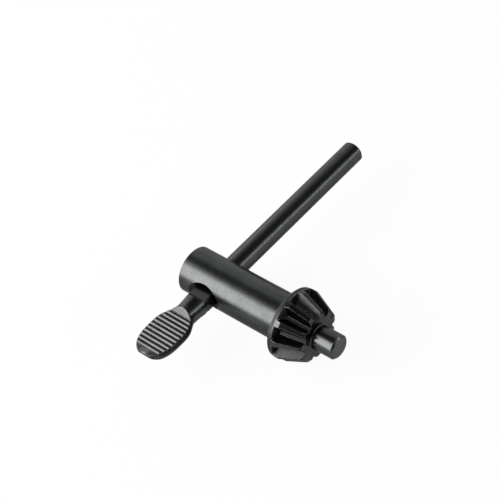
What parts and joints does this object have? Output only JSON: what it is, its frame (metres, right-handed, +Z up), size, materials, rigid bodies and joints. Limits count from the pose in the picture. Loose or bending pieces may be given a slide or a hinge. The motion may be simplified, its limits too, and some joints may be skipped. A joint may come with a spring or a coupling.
{
  "type": "drill chuck key",
  "caption": "T-handled drill chuck key: round barrel with a bevel pinion and pilot, and a cross rod that ends in a ridged thumb paddle.",
  "frame": {"origin": "centre of the pilot's root, where the pilot leaves the front face of the pinion", "axes": "+X along the barrel and out through the tip of the pilot, +Y along the handle rod to its plain end, +Z up, square to the thumb paddle"},
  "size_m": [0.0576, 0.1046, 0.0234],
  "materials": {
    "body": "satin black oxide over turned and milled steel",
    "handle": "satin black oxide over forged steel"
  },
  "bodies": {
    "root": {"key_body": "body", "handle_rod": "handle"}
  },
  "joints": []
}
